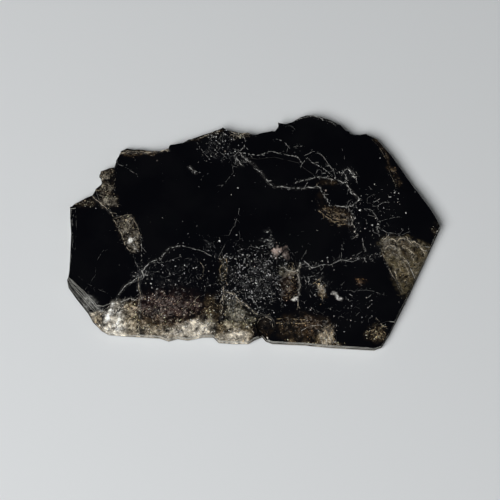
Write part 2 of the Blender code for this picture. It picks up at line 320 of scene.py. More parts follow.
def dense_crystal():
    """Points and triangles of the crystal's surface, fine enough for its sheets and cracks."""
    bm = cad_faces()
    points = [vert.co.copy() for vert in bm.verts]
    between = {}
    for edge in bm.edges:
        first, last = edge.verts
        made = split_edge(first.co, last.co)
        between[edge.index] = list(range(len(points), len(points) + len(made)))
        points += made
    triangles = []
    for face in bm.faces:
        ring = []
        for loop in face.loops:
            inner = between[loop.edge.index]
            ring.append(loop.vert.index)
            ring += inner if loop.edge.verts[0] == loop.vert else inner[::-1]
        normal = face.normal
        level = abs(normal.z) > LEVEL
        if level:
            across, up, stretch = Vector((1, 0, 0)), Vector((0, 1, 0)), 1.0
        else:
            across = Vector((-normal.y, normal.x, 0)).normalized()
            up, stretch = normal.cross(across), WALL_STEP / SHEET
        base = face.verts[0].co
        away = [points[number] - base for number in ring]
        flat = np.array([(spot.dot(across), spot.dot(up) * stretch) for spot in away])
        step = UNDERSIDE_STEP if normal.z < -LEVEL else FACE_STEP if level else WALL_STEP
        inner = np.empty((0, 2))
        if face.calc_area() > step * step:
            inner = lattice(flat.min(0), flat.max(0), step)
            ring_tree, gap = tree_of(flat), min(step / 2, WALL_STEP)
            inner = inner[[ring_tree.find((x, y, 0.0))[2] > gap for x, y in inner]]
        corners = [Vector(p) for p in flat] + [Vector(p) for p in inner]
        border = list(range(len(ring)))
        coords, _, faces, origins, _, _ = delaunay_2d_cdt(corners, [], [border], 1, SAME_POINT)
        ids = []
        turned = across.cross(up).dot(normal) < 0
        for coord, origin in zip(coords, origins):
            known = [number for number in origin if number < len(ring)]
            if known:
                ids.append(ring[known[0]])
                continue
            ids.append(len(points))
            spot = base + across * coord.x + up * (coord.y / stretch)
            if level:
                spot -= Vector((0, 0, (spot - base).dot(normal) / normal.z))
            points.append(spot)
        for a, b, c in faces:
            triangles.append((ids[a], ids[c], ids[b]) if turned else (ids[a], ids[b], ids[c]))
    bm.free()
    return np.array([tuple(p) for p in points]), np.array(triangles)


def new_piece(name, corners, faces):
    """A piece with this mesh, put in the scene."""
    mesh = bpy.data.meshes.new(name)
    mesh.from_pydata(corners, [], faces)
    piece = bpy.data.objects.new(name, mesh)
    bpy.context.scene.collection.objects.link(piece)
    return piece


points, triangles = dense_crystal()
used, triangles = np.unique(triangles, return_inverse=True)
points, triangles = points[used], triangles.reshape(-1, 3)
crystal = new_piece("crystal", points, triangles.tolist())
crystal_mesh = crystal.data
crystal_mesh.validate()
# The few gaps left between triangles are closed.
closing = bmesh.new()
closing.from_mesh(crystal_mesh)
bmesh.ops.holes_fill(closing, edges=[edge for edge in closing.edges if edge.is_boundary], sides=4)
closing.to_mesh(crystal_mesh)
closing.free()
points = np.array([vert.co for vert in crystal_mesh.vertices])
normals = np.array([vert.normal for vert in crystal_mesh.vertices])

# What can lie between the sheets: an even stain, the paleness of its crushed flakes with painted glints, the
# share of that which is too fine to stand out as flecks, and how many flecks it has to a square millimetre.
FINISHES = {
    "bronze": ((0.020, 0.015, 0.009), (1.45, 1.29, 1.00), 0.25, 11.0),
    "cream": ((0.56, 0.51, 0.42), (1.50, 1.46, 1.34), 0.8, 16.0),
    "gold": ((0.060, 0.043, 0.023), (1.90, 1.62, 1.16), 0.45, 16.0),
    "foil": ((0.048, 0.038, 0.019), (0.55, 0.47, 0.30), 0.25, 6.0),
    "red": ((0.016, 0.008, 0.006), (1.80, 1.36, 1.14), 0.08, 8.0),
    "olive": ((0.034, 0.030, 0.017), (1.80, 1.62, 1.20), 0.10, 16.0),
    "brown": ((0.014, 0.009, 0.004), (0.34, 0.24, 0.13), 0.4, 4.0),
    "rust": ((0.016, 0.008, 0.003), (1.20, 0.78, 0.46), 0.20, 8.0),
    "grey": ((0.010, 0.010, 0.010), (1.30, 1.29, 1.22), 0.15, 8.0),
    "slate_and_sheen": ((0.060, 0.060, 0.055), (0.30, 0.295, 0.28), 1.0, 1.0),
    "specks": ((0.0015, 0.0015, 0.0013), (2.40, 2.40, 2.27), 0.004, 12.0),
    "dust": ((0.0008, 0.0008, 0.0008), (1.30, 1.30, 1.25), 0.003, 3.0),
    "chalk": ((0.60, 0.58, 0.53), (1.50, 1.46, 1.38), 0.9, 16.0),
    "grain": ((0.24, 0.185, 0.160), (0.62, 0.52, 0.46), 0.8, 2.0),
}
# Each patch: its finish, how strong it is, how softly it ends, and its outline.
PATCHES = (
    ("bronze", 0.9, 0.8, ((114, 217), (123, 217), (131, 215), (137, 226), (140, 235), (140, 252),
        (132, 252), (126, 243), (119, 232))),
    ("chalk", 0.9, 0.5, ((128, 238), (131, 236.5), (134.5, 240), (133, 245), (129.5, 243))),
    ("bronze", 0.9, 1.2, ((106, 173), (8, 6))),
    ("bronze", 1.0, 1.2, ((104, 187), (10, 7))),
    ("bronze", 0.9, 1.2, ((108, 201), (9, 8))),
    ("bronze", 0.65, 0.8, ((84, 202), (12, 5))),
    ("cream", 0.85, 1.8, ((103, 314), (112, 317), (124, 318), (128, 326), (126, 338), (103, 336))),
    ("cream", 0.40, 1.2, ((107, 308), (114, 301), (124, 302), (128, 312), (124, 322), (106, 322))),
    ("chalk", 1.0, 0.5, ((113, 303), (115.5, 304.5), (111, 313), (107.5, 322), (103, 323), (104, 316),
        (108, 309))),
    ("chalk", 0.9, 0.5, ((120, 308), (121.5, 310), (119, 318), (118, 328), (113.5, 331), (112, 325),
        (116, 318))),
    ("gold", 0.9, 0.9, ((88, 311), (101, 312), (104, 334), (96, 329))),
    ("gold", 1.0, 1.2, ((124, 302), (138, 300), (139, 338), (124, 338))),
    ("cream", 0.15, 2.0, ((126, 326), (158, 328), (160, 340), (124, 339))),
    ("gold", 0.85, 3.0, ((140, 316), (170, 320), (214, 314), (214, 344), (140, 342))),
    ("cream", 0.55, 3.0, ((164, 333), (182, 326), (204, 320), (214, 324), (212, 336), (190, 338),
        (164, 338))),
    ("cream", 0.40, 1.0, ((170, 335), (182, 329), (196, 321), (211, 325), (206, 334), (190, 334))),
    ("brown", 1.3, 1.0, ((185, 337.5), (7, 2.5))),
    ("brown", 1.0, 1.4, ((161, 325), (5, 6))),
    ("bronze", 0.5, 1.6, ((136, 329), (10, 7))),
    ("red", 1.1, 4.0, ((168, 306), (34, 16))),
    ("dust", 0.75, 5.0, ((176, 275), (40, 21))),
    ("dust", 0.9, 4.0, ((143, 276), (17, 15))),
    ("dust", 0.8, 4.0, ((211, 250), (12, 13))),
    ("brown", 1.2, 0.8, ((119, 154), (123, 149), (164, 150.5), (169, 151), (150, 155), (124, 156))),
    ("bronze", 0.5, 0.8, ((150, 150.5), (16, 2))),
    ("brown", 1.0, 0.8, ((182, 143), (193, 139), (209, 132.5), (222, 128), (221, 131), (196, 141))),
    ("olive", 0.7, 1.4, ((223, 270), (4, 14))),
    ("specks", 0.8, 1.4, ((226, 266), (7, 12))),
    ("brown", 0.5, 2.0, ((214, 300), (9, 8))),
    ("gold", 0.5, 2.0, ((212, 308), (10, 9))),
    ("olive", 0.95, 1.2, ((225, 294), (246, 306), (256, 318), (250, 332), (222, 334))),
    ("slate_and_sheen", 0.25, 2.0, ((238, 311), (7, 8))),
    ("gold", 0.9, 1.6, ((217, 323), (252, 326), (253, 348), (215, 347))),
    ("cream", 0.7, 1.4, ((235, 337), (15, 7))),
    ("slate_and_sheen", 0.7, 0.8, ((218, 338), (7, 4))),
    ("specks", 1.0, 9.0, ((259, 278), (33, 31))),
    ("specks", 0.9, 4.0, ((254, 284), (16, 12))),
    ("specks", 0.8, 4.0, ((236, 296), (22, 14))),
    ("rust", 0.9, 2.0, ((289, 286), (8, 16))),
    ("olive", 0.9, 1.0, ((288, 271), (11, 5))),
    ("brown", 0.8, 2.4, ((305, 328), (30, 14))),
    ("brown", 0.6, 0.8, ((257, 321), (263, 315), (271, 318), (272, 331), (266, 340), (257, 336))),
    ("grey", 0.35, 0.8, ((260, 322), (264, 318), (270, 321), (268, 328), (261, 329))),
    ("rust", 0.8, 2.0, ((309, 326), (11, 9))),
    ("gold", 1.0, 1.2, ((325, 337.5), (10, 8))),
    ("cream", 0.15, 1.2, ((318, 330), (331, 329), (334, 344), (321, 345))),
    ("gold", 0.7, 0.9, ((286, 339.5), (320, 342.5), (352, 346), (352, 354), (286, 350))),
    ("gold", 0.6, 1.6, ((376, 334), (11, 7))),
    ("dust", 0.4, 5.0, ((334, 306), (38, 22))),
    ("dust", 0.03, 6.0, ((245, 215), (165, 80))),
    ("grey", 0.5, 2.0, ((317, 284), (11, 9))),
    ("gold", 0.7, 0.4, ((316, 285), (320, 281), (325, 285), (323, 291), (327, 297), (321, 298),
        (318, 291))),
    ("cream", 0.5, 0.4, ((317, 285), (321, 283), (323, 287), (319, 289))),
    ("chalk", 0.9, 0.3, ((290, 300), (294, 298), (298, 299.5), (296, 302), (292, 302))),
    ("chalk", 1.0, 0.3, ((332, 293), (336, 294), (340.5, 297.5), (339, 299), (335, 297))),
    ("rust", 0.8, 1.2, ((361, 282), (6, 4))),
    ("grey", 0.55, 1.0, ((302, 262), (320, 264), (340, 258), (360, 256), (380, 253), (381, 257),
        (360, 260), (340, 263), (322, 268), (306, 268))),
    ("foil", 1.0, 0.8, ((380, 240), (391, 235), (407, 237), (423, 243), (434, 249), (420, 276), (404, 276),
        (390, 266), (381, 252))),
    ("foil", 0.75, 1.8, ((388, 262), (421, 270), (408, 300), (398, 292))),
    ("grey", 0.4, 2.0, ((394, 246), (16, 9))),
    ("brown", 1.8, 0.5, ((384, 244), (389, 240), (396, 242), (397, 246), (390, 243.5), (385, 248))),
    ("brown", 1.8, 0.5, ((399, 244), (404, 240.5), (410, 243), (411, 248), (405, 244), (400, 248))),
    ("brown", 1.6, 0.5, ((387, 251), (393, 248.5), (398, 252), (398, 256), (393, 252), (388, 255))),
    ("brown", 1.6, 0.5, ((401, 252), (406, 250), (411, 254), (412, 259), (405, 254.5))),
    ("brown", 1.2, 0.8, ((413, 246), (418, 249), (424, 256), (420, 258), (415, 251))),
    ("gold", 0.35, 1.2, ((398, 262), (408, 266), (412, 280), (404, 284))),
    ("brown", 0.9, 1.2, ((318, 210), (327, 206.5), (344, 207), (350, 214), (350, 230), (340, 226))),
    ("brown", 0.35, 1.8, ((322, 200), (4, 9))),
    ("brown", 0.7, 1.4, ((326, 182), (10, 3))),
    ("grey", 0.7, 1.6, ((349, 174), (8, 6))),
    ("grey", 0.6, 1.2, ((238, 160), (5, 6))),
    ("grey", 0.9, 0.3, ((264, 230), (268, 227.5), (272, 230), (270, 235), (265, 234))),
    ("grey", 0.9, 0.3, ((260, 238), (266, 237), (274, 240), (275, 246), (268, 246), (264, 242))),
    ("dust", 0.5, 6.0, ((376, 214), (26, 28))),
    ("grey", 0.25, 3.0, ((353, 222), (5, 16))),
    ("dust", 1.0, 4.0, ((221, 149), (20, 14))),
    ("specks", 0.8, 2.0, ((222, 138), (12, 7))),
    ("bronze", 0.7, 1.0, ((240, 135), (9, 4))),
    ("brown", 0.9, 1.0, ((371, 135), (381.5, 149), (388, 167), (398, 188), (403, 186), (393, 165),
        (385, 147), (374, 132))),
    ("bronze", 0.7, 0.7, ((436, 230), (3, 6))),
    ("grain", 1.0, 0.15, ((270, 250), (273, 248), (278, 245.5), (281, 249), (279.5, 254), (276, 258),
        (272, 256))),
    ("grain", 0.5, 0.3, ((282, 249), (285, 246), (288, 250), (287, 255), (290, 257), (287, 261),
        (283, 257))),
    # Painted light: the sloped face at the left is painted grey, more on its lower part, for the sheen of a
    # glossy face turned towards the key lamp.
    ("slate_and_sheen", 0.55, 0.6, ((67, 279), (84, 291), (78, 302), (66, 286))),
    ("slate_and_sheen", 1.2, 1.0, ((84, 291), (104, 306.5), (94, 319), (78, 302))),
)
# The edges of patches wander in features of two sizes, by so much. Inside they have holes and clumps.
WANDER_SIZES = ((2.8, 0.8), (0.9, 0.35))
HOLES = 0.85
HOLE_SIZE = 1.7
CLUMP_SIZE = 1.5
CLUMPING = 2.0
CLUMP_LIMITS = (0.05, 2.2)
EVEN_STAIN = 0.4
COVERING = 0.4
UNDERSIDE_HAZE = (0.016, 0.012, 0.008)
HAZE_SIZE = 9.0
FAR = 1e9
TRACE = 1e-4


def rough(spots, size, octaves, start):
    """Uneven values about zero at the spots, in features of this size. Each start gives another pattern."""
    return np.array([noise.fractal((x / size + start, y / size - start, 0.0), 0.6, 2.0, octaves)
                     for x, y in spots])


def outside(corners, spots):
    """How far each spot is outside the outline; inside is below zero."""
    nearest = np.full(len(spots), FAR)
    inside = np.zeros(len(spots), bool)
    for start, end in zip(corners, np.roll(corners, -1, 0)):
        along = end - start
        share = np.clip(((spots - start) @ along) / (along @ along), 0, 1)
        nearest = np.minimum(nearest, np.linalg.norm(spots - start - share[:, None] * along, axis=1))
        crosses = (start[1] > spots[:, 1]) != (end[1] > spots[:, 1])
        with np.errstate(divide="ignore", invalid="ignore"):
            meets = start[0] + (spots[:, 1] - start[1]) / (end[1] - start[1]) * along[0]
        inside ^= crosses & (spots[:, 0] < meets)
    return np.where(inside, -nearest, nearest)


def eased(value):
    """0 up to 0, 1 from 1 on, and a smooth rise between."""
    value = np.clip(value, 0, 1)
    return value * value * (3 - 2 * value)


def between_sheets(spots):
    """At each spot the stain, paleness with painted glints, its fine share, the cover and the number of
    flecks.
    """
    moved = spots.copy()
    for size, reach in WANDER_SIZES:
        moved += reach * np.column_stack((rough(spots, size, 3, 11.3), rough(spots, size, 3, 47.9)))
    holes = HOLES * rough(spots, HOLE_SIZE, 4, 5.5)
    clumps = np.clip(1 + CLUMPING * rough(spots, CLUMP_SIZE, 4, 21.7), *CLUMP_LIMITS)
    stain = np.zeros((len(spots), 3))
    pale_and_glint = np.full((len(spots), 4), TRACE)
    weight = np.full(len(spots), TRACE)
    cover = np.zeros(len(spots))
    flecks = np.zeros(len(spots))
    for finish, strength, edge, outline in PATCHES:
        depth = 0.5 - outside(outline_on_face(outline), moved) / edge
        share = strength * eased(np.minimum(depth, 1.2) * (1 + holes))
        colour, ridges, fine, thickness = FINISHES[finish]
        uneven = EVEN_STAIN + (1 - EVEN_STAIN) * clumps[:, None]
        stain += share[:, None] * (np.array(colour) * uneven - stain * COVERING)
        pale_and_glint += share[:, None] * np.array((*ridges, fine))
        weight += share
        cover = np.maximum(cover, np.minimum(share, 1))
        flecks = np.maximum(flecks, share * thickness)
    pale_and_glint /= weight[:, None]
    return stain, pale_and_glint[:, :3], pale_and_glint[:, 3], cover, flecks * clumps


stain, pale_and_glint, fineness, cover, _ = between_sheets(points[:, :2])
pale_and_glint *= fineness[:, None]
# The underside is a whole sheet, nearly black, with a faint brown haze.
underside = (points[:, 2] < 0.02) & (normals[:, 2] < -LEVEL)
haze = np.clip(rough(points[underside][:, :2], HAZE_SIZE, 3, 71.2), 0, 1)
stain[underside] = haze[:, None] * UNDERSIDE_HAZE
pale_and_glint[underside] = 0.0
cover[underside] = 0.0
cracks = np.array([(*spot, brightness) for _, brightness, _, line in crack_lines for spot in line])
crack_tree = tree_of(cracks[:, :2])


def nearest_crack(spots):
    """How far the nearest crack is from each spot, and how bright that crack is."""
    found = [crack_tree.find((x, y, 0.0)) for x, y in spots]
    return np.array([item[2] for item in found]), np.array([cracks[item[1], 2] for item in found])


crack_gap, crack_light = nearest_crack(points[:, :2])


def keep_on(mesh, name, values):
    """Keep a value or a colour for each of the mesh's points, under a name that its material reads."""
    if values.ndim == 2:
        layer = mesh.attributes.new(name, "FLOAT_COLOR", "POINT")
        values = np.column_stack((values, np.ones(len(values))))
        layer.data.foreach_set("color", values.astype(np.float32).ravel())
    else:
        layer = mesh.attributes.new(name, "FLOAT", "POINT")
        layer.data.foreach_set("value", values.astype(np.float32))


# The walls of gaps lie well inside the foot of the outer walls. The sloped face at the left is an outer one.
FOOT = 0.001
GAP_DEPTH = (0.9, 1.7)
SLOPE_ENDS = -34
CRACK_REACH = 3.0

foot_tree = tree_of(points[(points[:, 2] < FOOT) & (normals[:, 2] > -0.97)])
inner = np.array([foot_tree.find((x, y, 0.0))[2] for x, y in points[:, :2]])
in_gap = eased((inner - GAP_DEPTH[0]) / (GAP_DEPTH[1] - GAP_DEPTH[0])) * (points[:, 0] > SLOPE_ENDS)
for name, values in (("stain", np.clip(stain, 0, 1)), ("pale_and_glint", np.clip(pale_and_glint, 0, 1.2)), ("cover", cover),
                     ("inner", in_gap), ("crack_gap", np.minimum(crack_gap, CRACK_REACH)),
                     ("crack_light", crack_light)):
    keep_on(crystal_mesh, name, values)

# The relief: slow warps of the face, ridges along the cracks, crumpled patches, and sheets that stand out or
# back along the walls. The underside stays flat.
WARP = 0.03
WARP_SIZE = 7.0
CRACK_RIDGE = 0.010
CRACK_RIDGE_REACH = 0.22
CRUMPLE = 0.10
CRUMPLE_SIZE = 1.3
SHEET_SWING = 0.05
SWING_SIZE = 2.2
TURNED = 0.6
WALLS_FROM = 0.04
FACE_FROM = 0.3

upward = np.clip(normals[:, 2] / TURNED, 0, 1) * (points[:, 2] > FACE_FROM)
sideways = np.clip(1 - np.abs(normals[:, 2]) / TURNED, 0, 1) * (points[:, 2] > WALLS_FROM)
crumpled = cover * np.clip(pale_and_glint.max(1) / 0.5, 0, 1)
lift = WARP * rough(points[:, :2], WARP_SIZE, 2, 3.1)
lift += CRACK_RIDGE * crack_light * np.exp(-(crack_gap / CRACK_RIDGE_REACH) ** 2)
lift += CRUMPLE * crumpled * (0.45 - np.abs(rough(points[:, :2], CRUMPLE_SIZE, 3, 8.8)))
row = np.round(points[:, 2] / SHEET)
swing = np.array([noise.noise((x / SWING_SIZE, y / SWING_SIZE, level * 5.7))
                  for (x, y), level in zip(points[:, :2], row)])
outwards = normals[:, :2] / np.maximum(np.linalg.norm(normals[:, :2], axis=1), 1e-6)[:, None]
points[:, 2] += lift * upward
points[:, :2] += outwards * (SHEET_SWING * swing * sideways)[:, None]
crystal_mesh.vertices.foreach_set("co", (points * MM).astype(np.float32).ravel())
crystal_mesh.update()
crystal_mesh.shade_smooth()
crystal_mesh.set_sharp_from_angle(angle=math.radians(35))


def read(items, name, width=3, kind=float):
    """A named value of all a mesh's items, in one row each."""
    values = np.zeros(len(items) * width, kind)
    items.foreach_get(name, values)
    return values.reshape(-1, width)


def corners_of(mesh):
    """For each corner of the mesh's faces: its vertex, its place, and its face's middle and normal."""
    vertex = read(mesh.loops, "vertex_index", 1, np.int32)[:, 0]
    sides = read(mesh.polygons, "loop_total", 1, np.int32)[:, 0]
    middle, normal = (np.repeat(read(mesh.polygons, name), sides, axis=0) for name in ("center", "normal"))
    return vertex, read(mesh.vertices, "co")[vertex] / MM, middle / MM, normal


def keep_layout(mesh, flat):
    layer = mesh.uv_layers.new(name="OFBake")
    layer.data.foreach_set("uv", np.clip(flat, 0, 1).astype(np.float32).ravel())


# The flat layout that baked colours are kept in: the face from above, the underside smaller beside it, and
# the walls unrolled in two strips, the outer ones and those of the gaps.
vertex, corner, middle, facing = corners_of(crystal_mesh)
low, span = points.min(0), float(np.ptp(points[:, 0]))
level = (corner[:, :2] - low[:2]) / span
turn = np.arctan2(middle[:, 1], middle[:, 0])
swung = np.arctan2(corner[:, 1], corner[:, 0]) - turn
turn = (turn + np.arctan2(np.sin(swung), np.cos(swung))) / math.tau + 0.5
rise = corner[:, 2] / np.ptp(points[:, 2])
strip = np.where((inner[vertex] > sum(GAP_DEPTH) / 2) & (middle[:, 0] > SLOPE_ENDS), 0.85, 0.70)
walls = np.column_stack((0.48 + 0.51 * turn, strip + 0.12 * rise))
flat = np.where((np.abs(facing[:, 2]) < 0.5)[:, None], walls, 0.01 + 0.98 * level)
flat = np.where((facing[:, 2] <= -0.5)[:, None], (0.01, 0.69) + 0.45 * level, flat)
keep_layout(crystal_mesh, flat)


# The finish: how glossy mica is on its face and on its walls, the two blacks of the face, the frosting beside
# cracks, the edges of the sheets with the painted shadow at their foot, and how high the crinkle of parted
# sheets stands.
MICA_IOR = 1.55
GLOSSY, MATT = 0.11, 0.5
BLACKS = ((0.0010, 0.0011, 0.0022, 1), (0.0024, 0.0025, 0.0034, 1))
FROST = (0.16, 0.155, 0.14, 1)
SHEET_EDGES = ((0.26, 0.25, 0.22, 1), (0.84, 0.83, 0.75, 1))
WALL_FOOT_SHADOW = (0.05, 0.046, 0.040, 1)
GAP_EDGES = (0.03, 0.027, 0.022, 1)
CRINKLE_HEIGHT = 0.06
CRINKLE_STRENGTH = 0.8


def make_node(tree, kind, inputs=(), **settings):
    """A new shader node. Each input is a socket's name or number, with a value or what feeds it."""
    made = tree.nodes.new(kind)
    for name, value in settings.items():
        setattr(made, name, value)
    for socket, value in dict(inputs).items():
        if isinstance(value, bpy.types.NodeSocket):
            tree.links.new(value, made.inputs[socket])
        else:
            made.inputs[socket].default_value = value
    return made


def maths(tree, operation, first, second=0.0, clamp=False):
    sockets = {0: first, 1: second}
    return make_node(tree, "ShaderNodeMath", sockets, operation=operation, use_clamp=clamp).outputs[0]


def vectors(tree, operation, first, second):
    sockets = {0: first, "Scale" if operation == "SCALE" else 1: second}
    return make_node(tree, "ShaderNodeVectorMath", sockets, operation=operation).outputs[0]


def in_millimetres(tree):
    return vectors(tree, "SCALE", make_node(tree, "ShaderNodeTexCoord").outputs["Object"], 1 / MM)


def fade(tree, value, start, end, low=0.0, high=1.0):
    """low where value is at start, turning smoothly to high where it is at end."""
    sockets = {"Value": value, "From Min": start, "From Max": end, "To Min": low, "To Max": high}
    made = make_node(tree, "ShaderNodeMapRange", sockets, interpolation_type="SMOOTHSTEP")
    return made.outputs["Result"]


def mix(tree, kind, share, first, second):
    sockets = {0: share, 6: first, 7: second}
    return make_node(tree, "ShaderNodeMix", sockets, data_type="RGBA", blend_type=kind).outputs[2]


def cloud(tree, place, scale, detail=2.0, roughness=0.5, output="Fac"):
    sockets = {"Vector": place, "Scale": scale, "Detail": detail, "Roughness": roughness}
    return make_node(tree, "ShaderNodeTexNoise", sockets).outputs[output]


def held(tree, name, output="Fac"):
    return make_node(tree, "ShaderNodeAttribute", attribute_name=name).outputs[output]


def mottle_group():
    """The mottling of mica, which both of its finishes use: a strength that changes in soft clouds."""
    group = bpy.data.node_groups.new("mottle", "ShaderNodeTree")
    group.interface.new_socket("Place", in_out="INPUT", socket_type="NodeSocketVector")
    for name in ("Scale", "Detail", "Roughness", "From", "To", "Least", "Most"):
        group.interface.new_socket(name, in_out="INPUT", socket_type="NodeSocketFloat")
    group.interface.new_socket("Strength", in_out="OUTPUT", socket_type="NodeSocketFloat")
    given = make_node(group, "NodeGroupInput").outputs
    clouds = cloud(group, given["Place"], given["Scale"], given["Detail"], given["Roughness"])
    strength = fade(group, clouds, given["From"], given["To"], given["Least"], given["Most"])
    make_node(group, "NodeGroupOutput", {"Strength": strength})
    return group


mottling = mottle_group()


def mottled(tree, colour, place, **settings):
    """The colour, made stronger and weaker by the mottling group."""
    strength = make_node(tree, "ShaderNodeGroup", {"Place": place, **settings}, node_tree=mottling).outputs[0]
    return mix(tree, "MULTIPLY", 1.0, colour, strength)


def new_finish(name):
    """A new material, its node tree and its shader, which has the gloss of mica."""
    material = bpy.data.materials.new(name)
    material.use_nodes = True
    shader = material.node_tree.nodes["Principled BSDF"]
    shader.inputs["IOR"].default_value = MICA_IOR
    return material, material.node_tree, shader


def mica_material():
    """Near-black glass-like mica, with what lies between its sheets."""
    material, tree, shader = new_finish("dark_mica")
    place = in_millimetres(tree)
    drift = vectors(tree, "SUBTRACT", cloud(tree, place, 0.9, 3.0, 0.6, "Color"), (0.5, 0.5, 0.5))
    bent = vectors(tree, "ADD", place, vectors(tree, "SCALE", drift, 1.6))

    # The crinkle of parted sheets: ridges, close together where a patch is thick, sparse at its edge. It
    # makes the bump and dulls the gloss, and in the colour its ridges are bright: partly the paleness of
    # crushed mica and partly painted glints.
    cover = held(tree, "cover")
    grit = cloud(tree, bent, 2.6, 5.0, 0.75)
    blotch = cloud(tree, place, 0.6, 4.0, 0.65)
    cells = make_node(tree, "ShaderNodeTexVoronoi", {"Vector": bent, "Scale": 2.2}).outputs["Color"]
    shards = make_node(tree, "ShaderNodeSeparateColor", {0: cells}).outputs[0]
    crinkle = maths(tree, "ADD", maths(tree, "MULTIPLY", shards, 0.34), maths(tree, "MULTIPLY", grit, 0.9))
    crinkle = maths(tree, "ADD", crinkle, maths(tree, "MULTIPLY", blotch, 0.9))
    least = fade(tree, cover, 0.0, 1.0, 1.7, 0.93)
    crinkle = maths(tree, "DIVIDE", maths(tree, "SUBTRACT", crinkle, least), 0.45, True)
    crinkle = maths(tree, "MULTIPLY", crinkle, crinkle)

    # The frosting beside the cracks.
    gap = held(tree, "crack_gap")
    light = held(tree, "crack_light")
    frost = maths(tree, "MULTIPLY", fade(tree, gap, 1.3, 0.0), light)
    beside = maths(tree, "SUBTRACT", grit, fade(tree, frost, 0.0, 0.8, 0.9, 0.45))
    beside = maths(tree, "MULTIPLY", beside, 1.6, True)

    # The colours, laid over each other.
    frosting = maths(tree, "MULTIPLY", beside, frost)
    normal = make_node(tree, "ShaderNodeNewGeometry").outputs["Normal"]
    face = fade(tree, make_node(tree, "ShaderNodeSeparateXYZ", {0: normal}).outputs["Z"], 0.25, 0.5)
    body = mix(tree, "MIX", fade(tree, cloud(tree, place, 0.10, 3.0), 0.4, 0.7), *BLACKS)
    stained = mottled(tree, held(tree, "stain", "Color"), bent, Scale=0.9, Detail=5.0, Roughness=0.65,
                      From=0.34, To=0.68, Least=0.1, Most=1.7)
    # Painted glints: the ridges of the crinkle are made bright in the colour, over the paleness of the
    # crushed flakes.
    ridge_pale_and_glint = mix(tree, "MULTIPLY", 1.0, held(tree, "pale_and_glint", "Color"), crinkle)
    top = mix(tree, "ADD", 1.0, mix(tree, "ADD", 1.0, body, stained), ridge_pale_and_glint)
    top = mix(tree, "ADD", frosting, top, FROST)

    # The walls: the edges of the sheets, pale where they have parted, dark in the gaps, painted shadow at the
    # foot.
    flat = vectors(tree, "MULTIPLY", place, (0.22, 0.22, 9.0))
    sheets = fade(tree, cloud(tree, flat, 1.0, 4.0, 0.6), 0.35, 0.68)
    height = make_node(tree, "ShaderNodeSeparateXYZ", {0: place}).outputs["Z"]
    wall = mix(tree, "MIX", sheets, *SHEET_EDGES)
    # Painted shadow: the lowest part of every wall turns dark, as where the crystal meets the table.
    wall = mix(tree, "MIX", fade(tree, height, 0.8, 0.4), wall, WALL_FOOT_SHADOW)
    wall = mix(tree, "MIX", fade(tree, held(tree, "inner"), 0.2, 0.8), wall, GAP_EDGES)
    tree.links.new(mix(tree, "MIX", face, wall, top), shader.inputs["Base Color"])

    dull = maths(tree, "MULTIPLY", crinkle, 0.3)
    dull = maths(tree, "ADD", dull, fade(tree, face, 1.0, 0.0, GLOSSY, MATT), True)
    tree.links.new(dull, shader.inputs["Roughness"])
    height = maths(tree, "ADD", crinkle, frosting)
    relief = {"Height": height, "Distance": CRINKLE_HEIGHT * MM, "Strength": CRINKLE_STRENGTH}
    bump = make_node(tree, "ShaderNodeBump", relief)
    tree.links.new(bump.outputs["Normal"], shader.inputs["Normal"])
    return material


crystal_mesh.materials.append(mica_material())
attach(crystal, "root")
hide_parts("mica_crystal")


# ---- The crack lips ----
# Where the sheets have cracked, their lips stand a few hundredths of a millimetre proud and look white. Each
# crack runs in one or more hair-thin strands, and crushed places are crazed all over with them.

LIP_WIDTH = 0.14
LIP_HEIGHT = 0.025
LIP_ROOT = 0.03
LIP_END = 0.4
LIP_LEAST = 0.6
LIP_LIGHT = 0.85
LIP_LIGHT_SWING = 2.8
FROSTED_ROUGHNESS = 0.45
STRAND_SPREAD = 0.88
STRAND_SWING = 1.1
SIDE_STRAND_LIGHT = 0.6
BREAK_SIZE = 0.32
LEAST_LIGHT = 0.05
TWIG_EVERY = 3.2
TWIG_START = (0.3, 1.0)
TWIG_GAP = (0.4, 1.6)
TWIG_LENGTH = (0.5, 2.0)
TWIG_TURN = (0.3, 1.1)
TWIG_LIGHT = (0.3, 0.7)
